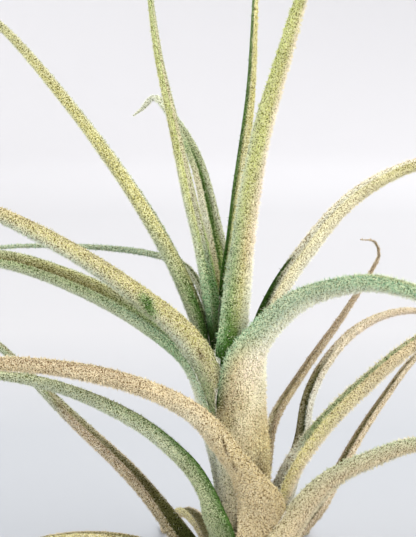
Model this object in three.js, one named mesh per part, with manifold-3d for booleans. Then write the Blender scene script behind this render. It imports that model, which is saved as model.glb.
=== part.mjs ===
// An air plant with long, channelled, fuzzy leaves, as picked, standing on its own foot.
// Millimetres, +Z up. The origin is the middle of the flat foot of the stem, on the surface it stands on.
// Directions round the stem are in degrees: 0 is +X, 90 is +Y, and the front of the plant is -Y.

import * as THREE from 'three';
import { mergeVertices } from 'three/addons/utils/BufferGeometryUtils.js';
import Module from 'manifold-3d';

const wasm = await Module();
wasm.setup();

// Driving dimensions
const CLEARANCE = 0.3; // air left between two neighbouring pieces
const MIDRIB = 1.15; // leaf thickness along its middle line
const MARGIN = 0.62; // leaf thickness at its two edges
const OPENED = 72; // half of the angle of a blade's section where it leaves the column, degrees
const ROLLED = 114; // half of the angle of a blade's section where it is rolled into a channel, degrees
const COLUMN = 7; // widest radius of the column of leaf bases
const TIP = 0.42; // radius of the last section of a leaf
const TAPER = 0.6; // power of the narrowing towards the tip: lower stays wide for longer
const ROLLED_BY = 0.35; // share of the blade by which it is fully rolled
const SET_BACK = 0.65; // how far the path lies inside the back of a rolled section, in its radii
const FILLED = 0.88; // thickest wall of a section, in its radii
const PORE = 0.06; // smallest inner radius of a section, in its radii
const LIFT_OFF = 9; // least length over which a leaf frees itself from the column
const TURN_FROM = 0.6; // share of the clasping length at which a leaf begins to turn to its heading
const OPEN_FROM = 0.7; // share of the clasping length at which its section begins to change
const OPEN_BY = 0.6; // share of the freeing length by which its section is the blade's own
const BOW_REACH = 50; // distance out at which a leaf's bow is measured
const ARC_STEPS = 6; // facets across a leaf
const SPAN_STEPS = 2; // sections between two points of a leaf's path

const STEM_PROFILE = [
  [0, 0],
  [4.1, 0],
  [4.5, 0.8],
  [4.3, 3],
  [3.6, 11],
  [2.8, 24],
  [2.0, 36],
  [1.3, 43],
  [0, 45],
];
const STEM_SIDES = 16;
const STEM_TINT = 0x6f5a3c;

// Each leaf: seat and rise say where on the stem it grows, heads is the way its blade points, side is how far
// the blade's upright plane passes beside the axis (positive to the left when looking outwards), clasp is the
// length that stays against the column, wrap is half of the angle that its base goes round the column, half is
// half of the blade's width when unrolled, roll turns the channel about the blade, bow is how far the
// blade has swung sideways 50 mm out, and path lists [out, up] points of its middle line.
const LEAVES = [
  {
    name: 'leaf_front_arching', tint: 0x9fae8c,
    seat: -82, rise: 13, heads: -29, side: -4.8, clasp: 30, wrap: 54, half: 7.1, roll: 0, bow: 0,
    path: [
      [4.4, 24], [4.2, 44], [5.1, 52], [9.7, 57.9], [17, 63.6],
      [25, 66.4], [33.5, 67.3], [50.5, 62.2], [58.5, 53],
    ],
  },
  {
    name: 'leaf_left_front', tint: 0xb9a583,
    seat: -66, rise: 5, heads: 202, side: 8.8, clasp: 14, wrap: 40, half: 6.4, roll: 0, bow: -3,
    path: [
      [-1.6, 19], [1.8, 28.3], [5.9, 33.6], [13.3, 41.35],
      [27.8, 48.25], [51.8, 52.6], [73, 50.7], [84, 43],
    ],
  },
  {
    name: 'leaf_left_upper', tint: 0xc4b98d,
    seat: 228, rise: 22, heads: 187, side: 3.4, clasp: 16, wrap: 44, half: 5.2, roll: -40, bow: 3,
    path: [[4.2, 40], [5.6, 46.8], [11, 55], [21.6, 64.1], [37.7, 74.6], [56.8, 83], [75.6, 83.5], [88, 76.5]],
  },
  {
    name: 'leaf_upright_front', tint: 0xa2b07c,
    seat: 222, rise: 32, heads: -50, side: -4.1, clasp: 8, wrap: 44, half: 5.6, roll: 0, bow: 0,
    path: [[0.2, 44], [3.3, 54.6], [4.8, 62.7], [7.8, 78.7], [11.8, 94.6], [18.2, 110], [26, 126], [42, 141]],
  },
  {
    name: 'leaf_tall_left', tint: 0xa9b684,
    seat: 162, rise: 29, heads: 178, side: -1.8, clasp: 12, wrap: 36, half: 5.2, roll: 2, bow: -2,
    path: [
      [4.9, 42], [6.8, 54.4], [10.9, 64.9], [20.4, 81.8],
      [35.1, 102.1], [49, 117.6], [60.5, 125.5], [70, 127],
    ],
  },
  {
    name: 'leaf_left_channelled', tint: 0x7f9a83,
    seat: 184, rise: 11, heads: 180, side: 0.5, clasp: 18, wrap: 44, half: 6.9, roll: 30, bow: -4,
    path: [[4.7, 28], [4.9, 40], [9.3, 50.1], [19.3, 57.8], [31.6, 64.4], [47.6, 69.5], [66, 69.9], [82, 60]],
  },
  {
    name: 'leaf_upright_left', tint: 0x93ab74,
    seat: 150, rise: 36, heads: 180, side: -0.8, clasp: 8, wrap: 44, half: 4.1, roll: 28, bow: 0,
    path: [[3.6, 47], [4.8, 58], [8, 74], [9.9, 82], [13.3, 98], [15.9, 110], [17.6, 123], [18, 134]],
  },
  {
    name: 'leaf_upright_slim', tint: 0x9bb070,
    seat: 30, rise: 40, heads: 15, side: 1.6, clasp: 4, wrap: 44, half: 3.5, roll: -25, bow: 0,
    path: [[-1.6, 53], [-1.6, 64], [-0.3, 75], [1, 86], [3.1, 102], [4, 120], [4.4, 138]],
  },
  {
    name: 'leaf_right_upper', tint: 0xbfb389,
    seat: 12, rise: 26, heads: 13, side: -0.4, clasp: 14, wrap: 44, half: 5.2, roll: -6, bow: 3,
    path: [[3.2, 40], [3.7, 52.5], [8.1, 62.8], [13.9, 70.8], [24, 81.7], [37.9, 88.4], [61, 90], [79, 79]],
  },
  {
    name: 'leaf_back_hooked', tint: 0x7d9a78,
    seat: 100, rise: 33, heads: 126, side: -1.35, clasp: 8, wrap: 44, half: 5.2, roll: 0, bow: 0,
    path: [
      [5.2, 50], [7.4, 65.5], [11.1, 76.2], [16.9, 89.4],
      [27.3, 99.6], [31.2, 101.7], [35.7, 99.2], [39.2, 97.7],
    ],
  },
  {
    name: 'leaf_right_middle', tint: 0xc0b283,
    seat: 8, rise: 13, heads: 11, side: -1, clasp: 6, wrap: 40, half: 5.3, roll: 0, bow: -4,
    path: [[7.2, 20.4], [9.8, 26.4], [16.5, 34.9], [24.7, 42.9], [36.6, 52.7], [54.4, 60.7], [74.4, 61]],
  },
  {
    name: 'leaf_back_curled', tint: 0x8d7a54,
    seat: 56, rise: 15, heads: 49, side: -1.35, clasp: 2, wrap: 30, half: 2.7, roll: 0, bow: 0,
    path: [
      [6.7, 26], [9.7, 35.8], [19.1, 44.8], [32.5, 55.3],
      [43.5, 65], [45.6, 67.8], [44.2, 70.6], [38.8, 71.5],
    ],
  },
  {
    name: 'leaf_back_right', tint: 0xb8a184,
    seat: 34, rise: 9, heads: 40, side: 1.5, clasp: 2, wrap: 34, half: 3.6, roll: 0, bow: 3,
    path: [[13.8, 18], [19.5, 30.6], [21.5, 39.1], [26.1, 45.7], [36.2, 52.4], [52.4, 55], [79.2, 49]],
  },
  {
    name: 'leaf_right_slim', tint: 0x94805a,
    seat: -8, rise: 7, heads: 36, side: -4.5, clasp: 2, wrap: 34, half: 3.2, roll: 0, bow: -1.5,
    path: [[10, 12.6], [17.6, 18], [23.7, 26.4], [29, 33.3], [34.4, 39.3], [43.1, 47.6], [61, 56]],
  },
  {
    name: 'leaf_right_low', tint: 0xa5a383,
    seat: -38, rise: 6, heads: -35, side: 2.9, clasp: 2, wrap: 34, half: 6.5, roll: 0, bow: -3,
    path: [[11, 17.2], [21.6, 27.9], [31.2, 33], [39.1, 36.3], [53, 38.5], [68, 35]],
  },
  {
    name: 'leaf_left_lower', tint: 0x9aa77a,
    seat: 222, rise: 9, heads: 192, side: 4.2, clasp: 6, wrap: 40, half: 5.4, roll: 0, bow: -3,
    path: [[6, 21.6], [9.1, 27.6], [13.5, 32.3], [22.7, 39.3], [38.4, 46.3], [57.1, 49.3], [68, 49]],
  },
  {
    name: 'leaf_back_left', tint: 0x8b8258,
    seat: 152, rise: 5, heads: 153, side: 0.5, clasp: 2, wrap: 34, half: 5, roll: 0, bow: 1,
    path: [[12, 12], [23.8, 23.6], [39.2, 35.6], [56.1, 49.6], [67, 57]],
  },
  {
    name: 'leaf_back_thin', tint: 0x8ea08f,
    seat: 118, rise: 20, heads: 142, side: -1, clasp: 6, wrap: 40, half: 2.2, roll: 0, bow: 4,
    path: [[6.4, 40], [8, 54], [9.6, 62], [13.9, 67.4], [21, 69.5], [41.5, 70.4], [65.9, 68.4], [88, 61]],
  },
];

// The oldest leaves grow from the foot of the stem, point the way they are seated, and arch down until their
// outer halves lie on the surface.
const FOOT_LEAF = {
  tint: 0xa59a6e, side: 0, clasp: 1, wrap: 26, half: 4, roll: 0,
};
const FOOT_LEAVES = [
  {
    name: 'leaf_foot_front', seat: -112, rise: 2.6, bow: 5,
    path: [[10, 8], [19, 14], [34, 15], [50, 9], [63, 2.6], [74, 2.4]],
  },
  {
    name: 'leaf_foot_front_right', seat: -58, rise: 4, bow: -4,
    path: [[10, 10], [20, 15], [36, 14], [51, 7], [61, 2.4], [69, 3]],
  },
  {
    name: 'leaf_foot_right', seat: 4, rise: 2.6, bow: -6,
    path: [[11, 7], [22, 11], [38, 11], [55, 5.4], [67, 2], [77, 2.6]],
  },
  {
    name: 'leaf_foot_back_right', seat: 66, rise: 4, bow: 6,
    path: [[10, 9], [20, 13], [34, 13], [48, 7.4], [60, 2.6], [71, 2]],
  },
  {
    name: 'leaf_foot_back', seat: 112, rise: 2.6, bow: -5,
    path: [[10, 7], [20, 11], [36, 12], [53, 6.4], [64, 2.2], [72, 3.4]],
  },
  {
    name: 'leaf_foot_left', seat: 170, rise: 2.6, bow: 6,
    path: [[11, 8], [21, 12], [37, 13], [55, 7.4], [68, 2.4], [79, 2]],
  },
  {
    name: 'leaf_foot_front_left', seat: 208, rise: 2.6, bow: 4,
    path: [[11, 8], [20, 14], [34, 15], [47, 9.4], [58, 3.2], [67, 3]],
  },
];
const SETTLING_PASSES = 6;

// Short wiry roots grow from the foot of the stem, just above the surface.
const ROOT_RADIUS = 0.5;
const ROOT_HEIGHT = 0.75;
const ROOT_SIDES = 6;
const ROOT_STEPS = 8;
const ROOT_START = 2; // distance from the axis at which a root starts, inside the foot
const ROOT_STRAIGHT = 0.55; // share of a root's length that runs straight out
const ROOTS = [
  { turn: -84, length: 13, curl: 26 },
  { turn: -24, length: 9, curl: -34 },
  { turn: 36, length: 15, curl: 22 },
  { turn: 90, length: 10, curl: -28 },
  { turn: 146, length: 14, curl: 30 },
  { turn: 238, length: 11, curl: -22 },
];

const radians = THREE.MathUtils.degToRad;
const smooth = THREE.MathUtils.smoothstep;
const mix = THREE.MathUtils.lerp;

function outward(degrees) {
  return new THREE.Vector3(Math.cos(radians(degrees)), Math.sin(radians(degrees)), 0);
}

function sideways(degrees) {
  return outward(degrees + 90);
}

// Radius of the stem at a height, along its profile.
function stemRadius(height) {
  for (let i = 2; i < STEM_PROFILE.length; i += 1) {
    const [lowRadius, low] = STEM_PROFILE[i - 1];
    const [highRadius, high] = STEM_PROFILE[i];
    if (height <= high) {
      return mix(lowRadius, highRadius, (height - low) / (high - low));
    }
  }
  return 0;
}

// The line that a leaf follows, from where it grows on the stem to its tip.
function leafLine(leaf) {
  const reach = stemRadius(leaf.rise) + CLEARANCE + MIDRIB;
  const root = outward(leaf.seat).multiplyScalar(reach).setZ(leaf.rise);
  const blade = leaf.path.map(([out, up]) => {
    const swing = leaf.side + leaf.bow * (out / BOW_REACH) ** 2;
    return outward(leaf.heads).multiplyScalar(out).addScaledVector(sideways(leaf.heads), swing).setZ(up);
  });
  return new THREE.CatmullRomCurve3([root, ...blade], false, 'centripetal');
}

// The sections of a leaf: each is a thick arc, concentric with the stem at the base, and rolled into its own
// channel along the blade. A grown leaf is larger all round by the grow distance.
function leafRings(leaf, grow) {
  const line = leafLine(leaf);
  const steps = SPAN_STEPS * leaf.path.length;
  const points = line.getPoints(steps);
  const lengths = [0];
  for (let k = 1; k <= steps; k += 1) {
    lengths.push(lengths[k - 1] + points[k].distanceTo(points[k - 1]));
  }
  const whole = lengths[steps];
  const turn = THREE.MathUtils.euclideanModulo(leaf.heads - leaf.seat + 180, 360) - 180;
  const rings = [];
  for (let k = 0; k <= steps; k += 1) {
    const along = lengths[k];
    const tangent = line.getTangent(k / steps);
    const freeing = LIFT_OFF + leaf.clasp / 2;
    const free = smooth(along, leaf.clasp * TURN_FROM, leaf.clasp + freeing);
    const across = sideways(leaf.seat + turn * free);
    across.addScaledVector(tangent, -across.dot(tangent)).normalize();
    across.applyAxisAngle(tangent, -radians(leaf.roll * free));
    const inward = new THREE.Vector3().crossVectors(tangent, across);
    const share = THREE.MathUtils.clamp((along - leaf.clasp) / (whole - leaf.clasp), 0, 1);
    const halfWidth = leaf.half * Math.pow(1 - share, TAPER);
    const bladeAngle = radians(mix(OPENED, ROLLED, smooth(share, 0, ROLLED_BY)));
    const bladeRadius = Math.max(halfWidth / bladeAngle, TIP);
    const column = Math.min(Math.hypot(points[k].x, points[k].y), COLUMN);
    const unclasped = smooth(along, leaf.clasp * OPEN_FROM, leaf.clasp + freeing * OPEN_BY);
    const radius = mix(column, bladeRadius, unclasped);
    const angle = mix(radians(leaf.wrap), bladeAngle, unclasped);
    const back = points[k].clone().addScaledVector(inward, -SET_BACK * radius * unclasped);
    if (k === 0) {
      back.addScaledVector(tangent, -grow);
    } else if (k === steps) {
      back.addScaledVector(tangent, grow);
    }
    const centre = back.addScaledVector(inward, radius);
    rings.push(sectionRing(centre, inward, across, radius, angle, grow));
  }
  return rings;
}

// One section: the outer arc from edge to edge, then the inner arc back.
function sectionRing(centre, inward, across, radius, angle, grow) {
  const outerArc = [];
  const innerArc = [];
  const widest = angle + grow / radius;
  for (let i = 0; i <= ARC_STEPS; i += 1) {
    const bend = widest * ((2 * i) / ARC_STEPS - 1);
    const nearEdge = Math.pow(Math.abs(bend / widest), 2);
    const thickness = Math.min(mix(MIDRIB, MARGIN, nearEdge), radius * FILLED);
    const outerRadius = radius + grow;
    const innerRadius = Math.max(radius - thickness - grow, radius * PORE);
    const direction = inward.clone().multiplyScalar(-Math.cos(bend)).addScaledVector(across, Math.sin(bend));
    outerArc.push(centre.clone().addScaledVector(direction, outerRadius));
    innerArc.push(centre.clone().addScaledVector(direction, innerRadius));
  }
  return [...outerArc, ...innerArc.reverse()];
}

// Skins a row of sections and closes both ends. The quads of the outer and inner faces are split alike.
function skinRings(rings) {
  const size = rings[0].length;
  const half = size / 2;
  const positions = rings.flat().flatMap((point) => point.toArray());
  const triangles = [];
  for (let k = 0; k < rings.length - 1; k += 1) {
    for (let i = 0; i < size; i += 1) {
      const a = k * size + i;
      const b = k * size + ((i + 1) % size);
      const c = a + size;
      const d = b + size;
      if (i < half) {
        triangles.push(a, b, d, a, d, c);
      } else {
        triangles.push(a, b, c, b, d, c);
      }
    }
  }
  const last = (rings.length - 1) * size;
  for (let i = 0; i < half - 1; i += 1) {
    const j = size - 1 - i;
    triangles.push(i, j, i + 1, j, j - 1, i + 1);
    triangles.push(last + i, last + i + 1, last + j, last + j, last + i + 1, last + j - 1);
  }
  return { positions, triangles };
}

function toSolid({ positions, triangles }) {
  const mesh = new wasm.Mesh({
    numProp: 3,
    vertProperties: new Float32Array(positions),
    triVerts: new Uint32Array(triangles),
  });
  return new wasm.Manifold(mesh);
}

function leafSolid(leaf, grow) {
  return toSolid(skinRings(leafRings(leaf, grow)));
}

function geometrySolid(geometry) {
  geometry.deleteAttribute('normal');
  geometry.deleteAttribute('uv');
  const merged = mergeVertices(geometry, 1e-4);
  return toSolid({ positions: merged.attributes.position.array, triangles: merged.index.array });
}

function stemSolid(grow) {
  const profile = STEM_PROFILE.map(([radius, height]) => {
    const onAxis = radius === 0;
    const top = onAxis && height > 0;
    return new THREE.Vector2(onAxis ? 0 : radius + grow, top ? height + grow : height);
  });
  const lathe = new THREE.LatheGeometry(profile, STEM_SIDES);
  lathe.rotateX(Math.PI / 2);
  return geometrySolid(lathe);
}

// One root: a thin round wire that starts inside the foot and curls as it goes out.
function rootSolid({ turn, length, curl }, grow) {
  const start = outward(turn).multiplyScalar(ROOT_START).setZ(ROOT_HEIGHT + grow);
  const middle = start.clone().addScaledVector(outward(turn), length * ROOT_STRAIGHT);
  const end = middle.clone().addScaledVector(outward(turn + curl), length * (1 - ROOT_STRAIGHT));
  const line = new THREE.CatmullRomCurve3([start, middle, end]);
  const section = new THREE.Shape();
  for (let i = 0; i < ROOT_SIDES; i += 1) {
    const point = outward((360 * i) / ROOT_SIDES).multiplyScalar(ROOT_RADIUS + grow);
    if (i === 0) {
      section.moveTo(point.x, point.y);
    } else {
      section.lineTo(point.x, point.y);
    }
  }
  const wire = new THREE.ExtrudeGeometry(section, { steps: ROOT_STEPS, extrudePath: line, bevelEnabled: false });
  return geometrySolid(wire);
}

function rootedStem(grow) {
  return ROOTS.reduce((solid, root) => solid.add(rootSolid(root, grow)), stemSolid(grow));
}

function largestBody(solid) {
  const bodies = solid.decompose();
  return bodies.reduce((best, body) => (body.volume() > best.volume() ? body : best));
}

function addMesh(group, name, solid, colour) {
  const { vertProperties, triVerts } = solid.getMesh();
  const geometry = new THREE.BufferGeometry();
  geometry.setAttribute('position', new THREE.BufferAttribute(new Float32Array(vertProperties), 3));
  geometry.setIndex(new THREE.BufferAttribute(new Uint32Array(triVerts), 1));
  geometry.computeVertexNormals();
  const material = new THREE.MeshStandardMaterial({ color: colour, roughness: 0.9, metalness: 0 });
  const mesh = new THREE.Mesh(geometry, material);
  mesh.name = name;
  group.add(mesh);
}

// Lowers a foot leaf's outer end until its lowest point is on the surface.
function settled(leaf) {
  const reach = leaf.path[leaf.path.length - 1][0];
  let path = leaf.path;
  for (let pass = 0; pass < SETTLING_PASSES; pass += 1) {
    const rings = leafRings({ ...leaf, path }, 0);
    const lowest = Math.min(...rings.slice(SPAN_STEPS * 2).flat().map((point) => point.z));
    path = path.map(([out, up]) => [out, up - lowest * smooth(out, 0, reach)]);
  }
  return { ...leaf, path };
}

const plant = new THREE.Group();
addMesh(plant, 'stem', rootedStem(0), STEM_TINT);

// The leaves are cut in order of precedence: each gives way, by the clearance, to the stem and to those before it.
const footLeaves = FOOT_LEAVES.map((leaf) => settled({ ...FOOT_LEAF, heads: leaf.seat, ...leaf }));

const keepClear = [rootedStem(CLEARANCE)];
for (const leaf of [...LEAVES, ...footLeaves]) {
  let solid = leafSolid(leaf, 0);
  for (const neighbour of keepClear) {
    solid = solid.subtract(neighbour);
  }
  addMesh(plant, leaf.name, largestBody(solid), leaf.tint);
  keepClear.push(leafSolid(leaf, CLEARANCE));
}

export default plant;
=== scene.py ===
import math

import bmesh
import bpy
import numpy as np
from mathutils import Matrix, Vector


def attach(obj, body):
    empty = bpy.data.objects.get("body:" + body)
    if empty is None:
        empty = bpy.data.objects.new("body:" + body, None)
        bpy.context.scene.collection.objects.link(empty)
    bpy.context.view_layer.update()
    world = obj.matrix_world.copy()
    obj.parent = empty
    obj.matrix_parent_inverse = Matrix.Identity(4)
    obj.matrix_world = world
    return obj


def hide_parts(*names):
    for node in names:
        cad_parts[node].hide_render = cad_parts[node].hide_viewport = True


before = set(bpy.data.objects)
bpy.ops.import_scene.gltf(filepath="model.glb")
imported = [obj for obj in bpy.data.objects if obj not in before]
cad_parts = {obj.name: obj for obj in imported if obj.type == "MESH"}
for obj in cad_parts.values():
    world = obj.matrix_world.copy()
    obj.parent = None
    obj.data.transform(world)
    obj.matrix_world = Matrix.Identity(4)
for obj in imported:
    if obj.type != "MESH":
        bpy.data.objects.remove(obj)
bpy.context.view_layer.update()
scene = bpy.context.scene


# The camera looks at the middle of the rosette from the front, a little above its level, and the frame cuts
# off the outer leaf tips and the foot of the plant.
AIM = Vector((-0.006, 0.0, 0.0683))
CAMERA_AWAY = 0.43
LOOK_DOWN = math.radians(6)
FRAME_HEIGHT = 0.1074  # height of what the frame takes in at that distance
SENSOR = 36.0

lens = bpy.data.cameras.new("camera")
lens.sensor_fit = "VERTICAL"
lens.sensor_height = SENSOR
lens.lens = SENSOR * CAMERA_AWAY / FRAME_HEIGHT
lens.clip_start = 0.01
camera = bpy.data.objects.new("camera", lens)
camera.location = AIM + CAMERA_AWAY * Vector((0, -math.cos(LOOK_DOWN), math.sin(LOOK_DOWN)))
camera.rotation_euler = (math.pi / 2 - LOOK_DOWN, 0, 0)
scene.collection.objects.link(camera)
scene.camera = camera


# The plant stands on a round pale sweep, a floor whose rim curves up into a wall on every side, so that any
# view has the same plain background. Its paint is darker round the plant and paler towards the rim: painted
# shade where the lamps and sky light the floor most, and painted light up the wall, which they light least,
# so that floor and wall look evenly bright. Large soft lights hang inside it, and over the wall's top the
# sky is open.
SWEEP_MIDDLE = 0.2
SWEEP_FLOOR = 1.7
SWEEP_BEND = 1.1
SWEEP_TOP = 2.3
SWEEP_SIDES = 96
BEND_STEP = 6  # degrees
NEAR_PAINTED_SHADE = (0.425, 0.44, 0.46, 1)
FLOOR_TINT = (0.52, 0.52, 0.53, 1)
RIM_PAINTED_LIGHT = (0.85, 0.84, 0.85, 1)
NEAR_REACH = (0.2, 0.42)  # distances from the plant between which the painted shade near it gives way
RIM_FROM = 1.0  # distance from which the painted light of the rim comes in
SKY_TINT = (0.95, 0.97, 1.0, 1)
SKY_STRENGTH = 0.9
LIGHTS = {
    "key": {"place": (0.8, -1.35, 1.0), "watts": 31, "size": 1.1, "tint": (1.0, 0.96, 0.9)},
    "fill": {"place": (-1.15, -1.15, 0.5), "watts": 19, "size": 1.2, "tint": (0.93, 0.98, 1.0)},
    "rim": {"place": (0.5, 1.3, 1.2), "watts": 16, "size": 1.2, "tint": (1.0, 0.98, 0.98)},
    "side": {"place": (1.3, -0.25, 0.3), "watts": 6, "size": 0.8, "tint": (1.0, 0.93, 0.96)},
}


def add_node(tree, kind, inputs=None, **settings):
    """Adds a node, sets its properties, and sets or links its inputs, each by its name or number."""
    node = tree.nodes.new(kind)
    for name, value in settings.items():
        setattr(node, name, value)
    for key, value in (inputs or {}).items():
        if isinstance(value, bpy.types.NodeSocket):
            tree.links.new(value, node.inputs[key])
        else:
            node.inputs[key].default_value = value
    return node


def mix_colours(tree, share, first, second, blend="MIX"):
    """Output of a node that blends two colours, each a socket or a value."""
    node = add_node(tree, "ShaderNodeMix", data_type="RGBA", blend_type=blend)
    for socket, value in ((node.inputs[0], share), (node.inputs[6], first), (node.inputs[7], second)):
        if isinstance(value, bpy.types.NodeSocket):
            tree.links.new(value, socket)
        else:
            socket.default_value = value
    return node.outputs[2]


def ranged(tree, value, low, high, to_low=0.0, to_high=1.0):
    """Output of a node that maps the range from low to high onto another, and stops at its ends."""
    inputs = {"Value": value, "From Min": low, "From Max": high, "To Min": to_low, "To Max": to_high}
    return add_node(tree, "ShaderNodeMapRange", inputs).outputs[0]


def vector_maths(tree, operation, inputs):
    """Outputs of a Vector Math node."""
    return add_node(tree, "ShaderNodeVectorMath", inputs, operation=operation).outputs


def new_material(name, **values):
    """A material, and its Principled shader with the values that are the same all over the surface."""
    material = bpy.data.materials.new(name)
    material.use_nodes = True
    shader = material.node_tree.nodes["Principled BSDF"]
    for socket, value in values.items():
        shader.inputs[socket.replace("_", " ")].default_value = value
    return material, shader


def mesh_object(name, places, faces):
    """A smooth mesh object at the origin, linked to the scene. Places are in metres."""
    mesh = bpy.data.meshes.new(name)
    mesh.from_pydata(np.asarray(places).tolist(), [], faces)
    mesh.shade_smooth()
    thing = bpy.data.objects.new(name, mesh)
    scene.collection.objects.link(thing)
    return thing


def turned(name, profile, sides, swell=None):
    """Turns a profile of radius and height about the Z axis. Points on the axis become one corner each.
    swell(angle, height) multiplies the radius."""
    places = []
    rows = []
    for radius, height in profile:
        if radius == 0:
            rows.append([len(places)] * sides)
            places.append((0, 0, height))
            continue
        rows.append([len(places) + i for i in range(sides)])
        for i in range(sides):
            angle = 2 * math.pi * i / sides
            wide = radius * (swell(angle, height) if swell else 1)
            places.append((wide * math.cos(angle), wide * math.sin(angle), height))
    faces = []
    for low, high in zip(rows, rows[1:]):
        for i in range(sides):
            j = (i + 1) % sides
            corners = [low[i], low[j], high[j], high[i]]
            faces.append(list(dict.fromkeys(corners)))
    return mesh_object(name, places, faces)


sweep_profile = [(0, 0), (SWEEP_MIDDLE, 0), (SWEEP_FLOOR, 0)]
for degrees in range(BEND_STEP, 91, BEND_STEP):
    bend = math.radians(degrees)
    wide = SWEEP_FLOOR + SWEEP_BEND * math.sin(bend)
    sweep_profile.append((wide, SWEEP_BEND * (1 - math.cos(bend))))
sweep_profile.append((SWEEP_FLOOR + SWEEP_BEND, SWEEP_TOP))
sweep = turned("sweep", sweep_profile, SWEEP_SIDES)
sweep_paint, sweep_shader = new_material("sweep_paint", Roughness=0.9, Specular_IOR_Level=0.1)
sweep_tree = sweep_paint.node_tree
sweep_place = add_node(sweep_tree, "ShaderNodeTexCoord").outputs["Object"]
sweep_away = vector_maths(sweep_tree, "LENGTH", {0: sweep_place})["Value"]
painted_shade_share = ranged(sweep_tree, sweep_away, *NEAR_REACH)
painted_light_share = ranged(sweep_tree, sweep_away, RIM_FROM, SWEEP_FLOOR + SWEEP_BEND)
# Painted shade round the plant and painted light towards the rim, over the floor's own pale paint.
sweep_colour = mix_colours(sweep_tree, painted_shade_share, NEAR_PAINTED_SHADE, FLOOR_TINT)
sweep_colour = mix_colours(sweep_tree, painted_light_share, sweep_colour, RIM_PAINTED_LIGHT)
sweep_tree.links.new(sweep_colour, sweep_shader.inputs["Base Color"])
sweep.data.materials.append(sweep_paint)

sky = bpy.data.worlds.new("sky")
sky.use_nodes = True
sky_light = sky.node_tree.nodes["Background"]
sky_light.inputs["Color"].default_value = SKY_TINT
sky_light.inputs["Strength"].default_value = SKY_STRENGTH
scene.world = sky
scene.view_settings.view_transform = "Standard"

for light_name, light in LIGHTS.items():
    lamp = bpy.data.lights.new(light_name, "AREA")
    lamp.energy = light["watts"]
    lamp.size = light["size"]
    lamp.color = light["tint"]
    lamp_object = bpy.data.objects.new(light_name, lamp)
    lamp_object.location = light["place"]
    lamp_object.rotation_euler = (AIM - Vector(light["place"])).to_track_quat("-Z", "Y").to_euler()
    lamp_object.visible_camera = False
    scene.collection.objects.link(lamp_object)


# The stem is a short woody axis, brown and fibrous, ringed by the scars of leaves long gone. The leaf bases
# clasp it almost all the way up. It stands on its own blunt foot, and wiry roots grow out above the floor.
STEM_PROFILE = [
    (0, 0), (4.1, 0), (4.5, 0.8), (4.3, 3), (3.6, 11), (2.8, 24), (2.0, 36), (1.3, 43), (0, 45),
]  # radius and height, in millimetres
STEM_SIDES = 72
STEM_STEP = 0.5
SCAR_GAP = 1.9  # millimetres between two leaf scars
SCAR_DEPTH = 0.035
SCAR_EDGE = 0.2  # lower makes the scars narrower
FIBRES = (23, 37)  # coarse and fine fibres round the stem
FIBRE_DEPTH = 0.025
CURVE_STEPS = 60  # steps in which a curve is followed between two of its points
ROOT_RADIUS = 0.5
ROOT_HEIGHT = 0.75
ROOT_START = 2.0
ROOT_STRAIGHT = 0.55
ROOT_WANDER = 0.35
ROOT_THINS = 0.45
ROOT_LUMPS = 0.1
ROOT_SINKS = 0.25
ROOT_SIDES = 10
ROOT_GAP = 0.45
ROOTS = [  # direction in degrees, length in millimetres, and how far it curls as it goes out, in degrees
    (-84, 13, 26), (-24, 9, -34), (36, 15, 22), (90, 10, -28), (146, 14, 30), (238, 11, -22),
]
BARK_DARK = (0.045, 0.028, 0.014, 1)
BARK_LIGHT = (0.24, 0.165, 0.09, 1)
BARK_RANGE = (0.75, 1.3)  # sums of the two noises from the darkest bark to the lightest
BARK_STRETCH = (1, 1, 0.18)
BARK_FIBRE_SCALE = 2600.0
BARK_PATCH_SCALE = 420.0
MM = 0.001


def outward(degrees):
    """Level unit vectors that point away from the axis in the given directions."""
    turn = np.radians(np.asarray(degrees, float))
    return np.stack([np.cos(turn), np.sin(turn), np.zeros_like(turn)], axis=-1)


def smooth_step(value, start, end):
    share = np.clip((value - start) / (end - start), 0, 1)
    return share * share * (3 - 2 * share)


def stem_radius(height):
    radii, heights = np.array(STEM_PROFILE[1:]).T
    return np.interp(height, heights, radii)


def unit(vectors):
    return vectors / np.linalg.norm(vectors, axis=-1, keepdims=True)


def curve_through(points, gap):
    """Places along a centripetal curve through the points, evenly spaced about a gap apart, with the
    direction of the curve and the length run at each."""
    padded = np.vstack([2 * points[0] - points[1], points, 2 * points[-1] - points[-2]])
    at = np.linspace(0, len(points) - 1, CURVE_STEPS * len(points))
    span = np.minimum(at.astype(int), len(points) - 2)
    t = (at - span)[:, None]
    p0, p1, p2, p3 = (padded[span + k] for k in range(4))
    pairs = ((p0, p1), (p1, p2), (p2, p3))
    d0, d1, d2 = (np.sqrt(np.linalg.norm(b - a, axis=1))[:, None] for a, b in pairs)
    leave = ((p1 - p0) / d0 - (p2 - p0) / (d0 + d1) + (p2 - p1) / d1) * d1
    arrive = ((p2 - p1) / d1 - (p3 - p1) / (d1 + d2) + (p3 - p2) / d2) * d1
    fine = p1 + leave * t + (3 * (p2 - p1) - 2 * leave - arrive) * t**2
    fine += (2 * (p1 - p2) + leave + arrive) * t**3
    run = np.concatenate([[0], np.cumsum(np.linalg.norm(np.diff(fine, axis=0), axis=1))])
    along = np.linspace(0, run[-1], max(8, round(run[-1] / gap)) + 1)
    places = np.stack([np.interp(along, run, fine[:, axis]) for axis in range(3)], axis=1)
    return places, unit(np.gradient(places, axis=0)), along


def stem_swell(angle, height):
    """Fibres run up the stem, and shallow scars ring it."""
    tall = height / MM
    coarse, fine = FIBRES
    fibres = math.sin(coarse * angle + 0.8 * math.sin(tall)) + 0.6 * math.sin(fine * angle - 0.5 * tall)
    scar = math.cos(2 * math.pi * (tall + 0.5 * math.sin(3 * angle)) / SCAR_GAP)
    return 1 + FIBRE_DEPTH * fibres / 2 + SCAR_DEPTH * (min(scar, SCAR_EDGE) - SCAR_EDGE)


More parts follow.
